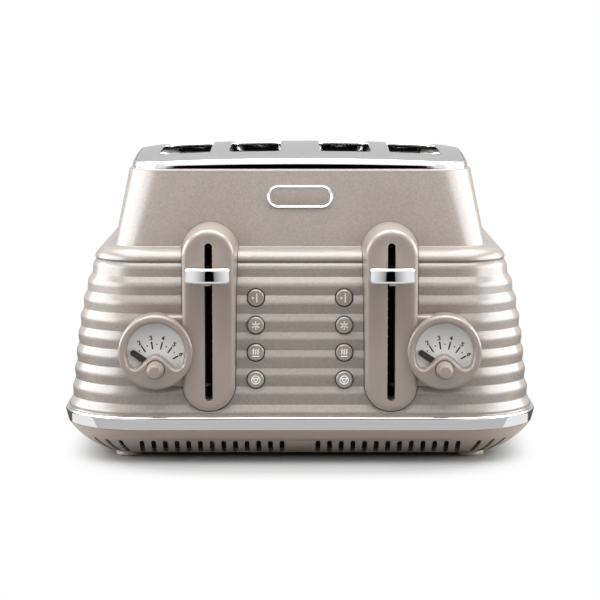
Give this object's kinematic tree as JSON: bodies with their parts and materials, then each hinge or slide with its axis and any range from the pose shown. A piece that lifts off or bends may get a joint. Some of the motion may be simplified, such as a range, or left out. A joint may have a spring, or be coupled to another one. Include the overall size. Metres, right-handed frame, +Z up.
{
  "type": "pop_up_toaster",
  "caption": "Pop-up toaster with a ribbed tapered casing, chrome band, crowned steel top with toast slots, front levers, browning dials, push buttons and pull-out crumb trays",
  "frame": {"origin": "on the table, at the middle of the toaster's length and width, lever handles included", "axes": "+X to the right seen from the front, +Y to the rear, +Z up; the levers and dials face -Y"},
  "size_m": [0.345, 0.32, 0.2232],
  "materials": {
    "casing_paint": "taupe metallic paint with a fine flake, satin clear coat",
    "knob_paint": "taupe painted plastic, satin",
    "tub_plastic": "taupe moulded plastic, satin",
    "chrome": "bright chrome plate",
    "top_steel": "polished steel with fine brush lines",
    "inner_steel": "plain sheet steel",
    "bright_wire": "bright drawn wire",
    "dial_card": "pale grey printed card",
    "needle_black": "black, satin",
    "heater_mica": "mica sheet",
    "heater_ribbon": "dull resistance ribbon",
    "board_green": "circuit board",
    "black_plastic": "black, matt",
    "magnet_iron": "varnished coil and core"
  },
  "bodies": {
    "casing": {"ribbed_body": "casing_paint", "upper_shell": "casing_paint", "lever_housing_left": "casing_paint", "lever_housing_right": "casing_paint", "dial_bezel_left": "casing_paint", "dial_bezel_right": "casing_paint", "badge_plate": "casing_paint", "base_tub": "tub_plastic", "base_floor": "tub_plastic", "feet": "tub_plastic", "chrome_band": "chrome", "badge_frame": "chrome", "top_plate": "top_steel", "guide_rods": "inner_steel", "rod_brackets": "inner_steel", "chassis_base": "inner_steel", "chamber_front": "inner_steel", "chamber_rear": "inner_steel", "side_shields": "inner_steel", "base_screws": "inner_steel", "board_standoffs": "inner_steel", "lift_spring_left": "bright_wire", "lift_spring_right": "bright_wire", "dial_face_left": "dial_card", "dial_face_right": "dial_card", "heater_boards": "heater_mica", "heater_ribbons": "heater_ribbon", "button_board": "board_green", "button_switches": "black_plastic", "dial_controls": "black_plastic", "cord_gland": "black_plastic", "magnets": "magnet_iron"},
    "lever_left": {"lever_handle_left": "chrome", "lever_arm_left": "inner_steel", "carriage_left": "inner_steel", "bread_racks_left": "bright_wire"},
    "dial_left": {"dial_knob_left": "knob_paint", "dial_needle_left": "needle_black"},
    "tray_left": {"crumb_tray_left": "tub_plastic"},
    "guides_left_left": {"bread_guides_left_left_hand": "bright_wire"},
    "guides_left_right": {"bread_guides_left_right_hand": "bright_wire"},
    "lever_right": {"lever_handle_right": "chrome", "lever_arm_right": "inner_steel", "carriage_right": "inner_steel", "bread_racks_right": "bright_wire"},
    "dial_right": {"dial_knob_right": "knob_paint", "dial_needle_right": "needle_black"},
    "tray_right": {"crumb_tray_right": "tub_plastic"},
    "guides_right_left": {"bread_guides_right_left_hand": "bright_wire"},
    "guides_right_right": {"bread_guides_right_right_hand": "bright_wire"},
    "button_one_side_left_body": {"button_one_side_left": "casing_paint"},
    "button_defrost_left_body": {"button_defrost_left": "casing_paint"},
    "button_reheat_left_body": {"button_reheat_left": "casing_paint"},
    "button_stop_left_body": {"button_stop_left": "casing_paint"},
    "button_one_side_right_body": {"button_one_side_right": "casing_paint"},
    "button_defrost_right_body": {"button_defrost_right": "casing_paint"},
    "button_reheat_right_body": {"button_reheat_right": "casing_paint"},
    "button_stop_right_body": {"button_stop_right": "casing_paint"}
  },
  "joints": [
    {"name": "left_lever_slide", "type": "slide", "parent": "casing", "child": "lever_left", "axis": [0, 0, 1], "range_m": [-0.08, 0.014], "stiffness_N_per_m": 40, "springref_m": 0.046, "deforming": ["lift_spring_left"]},
    {"name": "right_lever_slide", "type": "slide", "parent": "casing", "child": "lever_right", "axis": [0, 0, 1], "range_m": [-0.08, 0.014], "stiffness_N_per_m": 40, "springref_m": 0.046, "deforming": ["lift_spring_right"]},
    {"name": "left_dial_turn", "type": "hinge", "parent": "casing", "child": "dial_left", "pos_m": [-0.1027, -0.14, 0.0695], "axis": [0, 1, 0], "range_deg": [0, 121]},
    {"name": "right_dial_turn", "type": "hinge", "parent": "casing", "child": "dial_right", "pos_m": [0.1027, -0.14, 0.0695], "axis": [0, 1, 0], "range_deg": [0, 121]},
    {"name": "button_one_side_left_press", "type": "slide", "parent": "casing", "child": "button_one_side_left_body", "axis": [0, 1, 0], "range_m": [0, 0.002], "stiffness_N_per_m": 400},
    {"name": "button_defrost_left_press", "type": "slide", "parent": "casing", "child": "button_defrost_left_body", "axis": [0, 1, 0], "range_m": [0, 0.002], "stiffness_N_per_m": 400},
    {"name": "button_reheat_left_press", "type": "slide", "parent": "casing", "child": "button_reheat_left_body", "axis": [0, 1, 0], "range_m": [0, 0.002], "stiffness_N_per_m": 400},
    {"name": "button_stop_left_press", "type": "slide", "parent": "casing", "child": "button_stop_left_body", "axis": [0, 1, 0], "range_m": [0, 0.002], "stiffness_N_per_m": 400},
    {"name": "button_one_side_right_press", "type": "slide", "parent": "casing", "child": "button_one_side_right_body", "axis": [0, 1, 0], "range_m": [0, 0.002], "stiffness_N_per_m": 400},
    {"name": "button_defrost_right_press", "type": "slide", "parent": "casing", "child": "button_defrost_right_body", "axis": [0, 1, 0], "range_m": [0, 0.002], "stiffness_N_per_m": 400},
    {"name": "button_reheat_right_press", "type": "slide", "parent": "casing", "child": "button_reheat_right_body", "axis": [0, 1, 0], "range_m": [0, 0.002], "stiffness_N_per_m": 400},
    {"name": "button_stop_right_press", "type": "slide", "parent": "casing", "child": "button_stop_right_body", "axis": [0, 1, 0], "range_m": [0, 0.002], "stiffness_N_per_m": 400},
    {"name": "left_tray_slide", "type": "slide", "parent": "casing", "child": "tray_left", "axis": [0, 1, 0], "range_m": [0, 0.15]},
    {"name": "right_tray_slide", "type": "slide", "parent": "casing", "child": "tray_right", "axis": [0, 1, 0], "range_m": [0, 0.15]},
    {"name": "left_left_guide_close", "type": "slide", "parent": "casing", "child": "guides_left_left", "axis": [1, 0, 0], "range_m": [-0.0014, 0.008]},
    {"name": "left_right_guide_close", "type": "slide", "parent": "casing", "child": "guides_left_right", "axis": [-1, 0, 0], "range_m": [-0.0014, 0.008]},
    {"name": "right_left_guide_close", "type": "slide", "parent": "casing", "child": "guides_right_left", "axis": [1, 0, 0], "range_m": [-0.0014, 0.008]},
    {"name": "right_right_guide_close", "type": "slide", "parent": "casing", "child": "guides_right_right", "axis": [-1, 0, 0], "range_m": [-0.0014, 0.008]}
  ],
  "couplings": [
    {"joint": "left_left_guide_close", "follows": "left_lever_slide", "ratio": -0.1},
    {"joint": "left_right_guide_close", "follows": "left_lever_slide", "ratio": -0.1},
    {"joint": "right_left_guide_close", "follows": "right_lever_slide", "ratio": -0.1},
    {"joint": "right_right_guide_close", "follows": "right_lever_slide", "ratio": -0.1}
  ]
}
